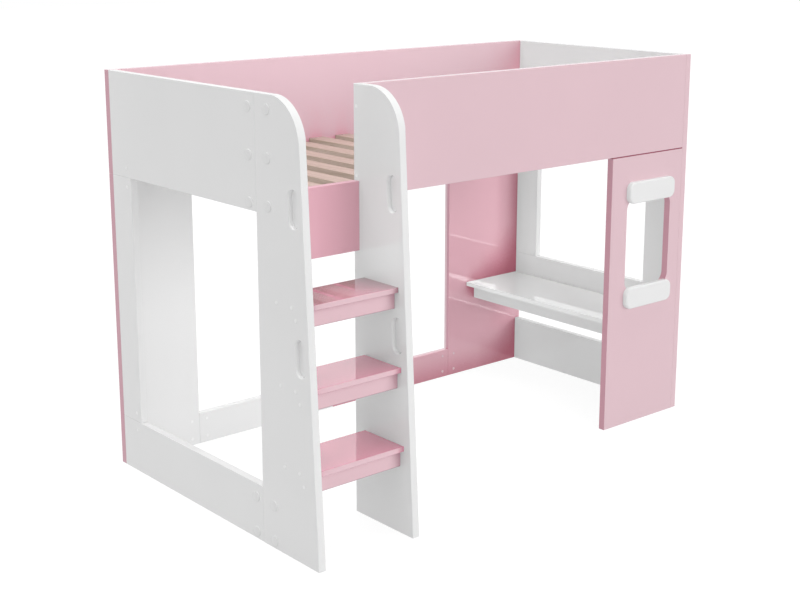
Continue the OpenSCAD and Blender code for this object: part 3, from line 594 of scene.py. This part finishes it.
# ---- Hidden fittings ----
# Zinc-plated steel bolts, nuts, saddles, cams and screws draw the boards together, and turned
# beech dowels line them up. They lie in their bores, under the covers.
def zinc_plate(name):
    """Bright zinc with a fine spangle."""
    dull_zinc, bright_zinc = (0.50, 0.51, 0.53), (0.62, 0.63, 0.65)
    dull_below, bright_above = 0.35, 0.65
    smoothest, roughest = 0.28, 0.42
    material = bpy.data.materials.new(name)
    material.use_nodes = True
    tree = material.node_tree
    skin = tree.nodes["Principled BSDF"]
    place = lay_node(tree, "ShaderNodeTexCoord", (0, 0))
    spangle = lay_node(tree, "ShaderNodeTexNoise", (1, 0))
    spangle.inputs["Scale"].default_value = 260.0
    tree.links.new(place.outputs["Object"], spangle.inputs["Vector"])
    bright = band(tree, spangle.outputs["Fac"], dull_below, bright_above, (2, 0))
    tone = blend_colours(tree, bright, dull_zinc, bright_zinc, (3, 0))
    tree.links.new(tone, skin.inputs["Base Color"])
    tree.links.new(band(tree, spangle.outputs["Fac"], 0.3, 0.7, (3, 1), smoothest, roughest),
                   skin.inputs["Roughness"])
    skin.inputs["Metallic"].default_value = 1.0
    return material


finish_nodes(["connector_bolts", "connector_nuts", "connector_saddles", "cam_barrels", "cam_bolts",
              "board_screws", "wood_screws"], zinc_plate("zinc_plate"))
beech_light = (0.62, 0.44, 0.28)
beech_late = (0.54, 0.37, 0.23)
beech_knot = (0.4, 0.26, 0.15)
finish_nodes(["dowels"], planed_wood("beech_dowels", "Z", beech_light, beech_late, beech_knot))

# ---- Floor ----
# A wide pale floor that takes the bed's soft shadow and runs out to white. It also glows a
# little, like a light table, which lights the boards evenly down to their feet.
floor_reach = 30.0
floor_drop = 0.0005
floor_grey = 0.2
floor_glow = 0.40
floor_white = 0.86
floor_mesh = bpy.data.meshes.new("floor")
floor_mesh.from_pydata([(x * floor_reach, y * floor_reach, -floor_drop)
                        for x, y in ((-1, -1), (1, -1), (1, 1), (-1, 1))], [], [(0, 1, 2, 3)])
floor = bpy.data.objects.new("floor", floor_mesh)
bpy.context.scene.collection.objects.link(floor)
floor_paint = bpy.data.materials.new("floor_paint")
floor_paint.use_nodes = True
floor_tree = floor_paint.node_tree
floor_tree.nodes.clear()
floor_face = lay_node(floor_tree, "ShaderNodeBsdfDiffuse", (1, 0))
floor_face.inputs["Color"].default_value = (floor_grey, floor_grey, floor_grey, 1.0)
floor_light = lay_node(floor_tree, "ShaderNodeEmission", (2, 1))
floor_path = lay_node(floor_tree, "ShaderNodeLightPath", (-1, 1))
floor_seen = all_masks(floor_tree, "MAXIMUM", [floor_path.outputs["Is Camera Ray"],
                                               floor_path.outputs["Is Glossy Ray"]], (0, 1))
floor_tree.links.new(band(floor_tree, floor_seen, 0.0, 1.0, (1, 1), floor_glow, floor_white),
                     floor_light.inputs["Strength"])
floor_sum = lay_node(floor_tree, "ShaderNodeAddShader", (3, 0))
floor_tree.links.new(floor_face.outputs[0], floor_sum.inputs[0])
floor_tree.links.new(floor_light.outputs[0], floor_sum.inputs[1])
floor_out = lay_node(floor_tree, "ShaderNodeOutputMaterial", (4, 0))
floor_tree.links.new(floor_sum.outputs[0], floor_out.inputs["Surface"])
floor.data.materials.append(floor_paint)

# ---- Room ----
# Soft light from all around, with no walls. The camera and the lacquer see plain white there,
# which lights nothing.
soft_strength = 0.38
white_strength = 1.0
world = bpy.data.worlds.new("white_room")
bpy.context.scene.world = world
world.use_nodes = True
sky = world.node_tree
sky.nodes.clear()
soft_light = lay_node(sky, "ShaderNodeBackground", (2, 0))
white_back = lay_node(sky, "ShaderNodeBackground", (2, 1))
for background, strength in ((soft_light, soft_strength), (white_back, white_strength)):
    background.inputs["Color"].default_value = (1.0, 1.0, 1.0, 1.0)
    background.inputs["Strength"].default_value = strength
sky_path = lay_node(sky, "ShaderNodeLightPath", (-1, 0))
sky_seen = all_masks(sky, "MAXIMUM", [sky_path.outputs["Is Camera Ray"],
                                      sky_path.outputs["Is Glossy Ray"],
                                      sky_path.outputs["Is Transmission Ray"]], (0, 0))
sky_share = lay_node(sky, "ShaderNodeMixShader", (3, 0))
sky.links.new(sky_seen, sky_share.inputs["Fac"])
sky.links.new(soft_light.outputs[0], sky_share.inputs[1])
sky.links.new(white_back.outputs[0], sky_share.inputs[2])
sky_out = lay_node(sky, "ShaderNodeOutputWorld", (4, 0))
sky.links.new(sky_share.outputs[0], sky_out.inputs["Surface"])


# ---- Studio light ----
# Large soft lamps far off: a low one from the ladder's side, one overhead, one high behind the
# left end, and three fills. The two strong fills are kept out of the reflections, so that they
# leave no glare on the lacquer.
def soft_lamp(name, stand, light, spread=40.0, mirrored=True):
    """A far lamp that stands in one direction. Light 1 makes a white board that faces it white."""
    lamp = bpy.data.lights.new(name, "SUN")
    lamp.energy = light * math.pi
    lamp.angle = math.radians(spread)
    made = bpy.data.objects.new(name, lamp)
    made.rotation_euler = Vector(stand).to_track_quat("Z", "Y").to_euler()
    made.visible_glossy = mirrored
    bpy.context.scene.collection.objects.link(made)
    return made


right_front = (0.5, -0.85, 0.15)
soft_lamp("low_front_lamp", (-0.35, -0.85, 0.4), light=0.12)
soft_lamp("overhead_lamp", (0.0, 0.0, 1.0), light=0.39)
soft_lamp("high_back_lamp", (-0.35, 0.45, 0.82), light=0.12, spread=20.0)
soft_lamp("left_fill", (-0.9, -0.1, 0.3), light=0.118)
soft_lamp("right_fill", right_front, light=0.39, mirrored=False)
soft_lamp("back_fill", (0.3, 0.9, 0.2), light=0.28, mirrored=False)

# A lamp in the right fill's place that only the lacquer around the desk mirrors, as thin bright
# lines on the pink upright and a shine on the desk's front edge.
glint = soft_lamp("desk_glint", right_front, light=0.62)
glint.visible_diffuse = False
glossy_boards = bpy.data.collections.new("boards_around_the_desk")
for board in ("desk_top", "back_right_post", "right_mid_rail", "right_lower_rail",
              "right_back_post"):
    glossy_boards.objects.link(pieces[board])
glint.light_linking.receiver_collection = glossy_boards


def hang_inside(lamp, place):
    """Hangs a lamp inside the bed, out of the camera's sight and of every reflection."""
    made = bpy.data.objects.new(lamp.name, lamp)
    made.location = place
    made.visible_glossy = False
    made.visible_camera = False
    bpy.context.scene.collection.objects.link(made)
    return made


# A ball of light under the slats.
ball = bpy.data.lights.new("fill_under_slats", "POINT")
ball.energy = 2.4
ball.shadow_soft_size = 0.3
hang_inside(ball, (-0.1, 0.1, 0.4))

# A long strip of light over the front guard, which looks at the back guard.
strip = bpy.data.lights.new("fill_over_slats", "AREA")
strip.energy = 1.45
strip.shape = "RECTANGLE"
strip.size, strip.size_y = 1.7, 0.25
strip_place = Vector((-0.2, -0.2, 1.75))
strip_aim = Vector((-0.2, 0.6, 1.3))
hung_strip = hang_inside(strip, strip_place)
hung_strip.rotation_euler = (strip_aim - strip_place).to_track_quat("-Z", "Y").to_euler()

# ---- Camera ----
# It stands about five metres away, left of the ladder and a little above the guards, and looks
# slightly down along the bed, with a small shift that sets the bed in the frame.
camera_data = bpy.data.cameras.new("photo_camera")
camera_data.sensor_width = 36.0
camera_data.lens = 62.42
camera_data.shift_y = -0.065
pitch_down = 12.92
yaw = 49.58
camera = bpy.data.objects.new("photo_camera", camera_data)
camera.location = (-3.466, -3.8474, 1.973)
camera.rotation_euler = Euler((math.radians(90.0 - pitch_down), 0.0, math.radians(yaw - 90.0)))
bpy.context.scene.collection.objects.link(camera)
bpy.context.scene.camera = camera
bpy.context.scene.view_settings.view_transform = "Standard"
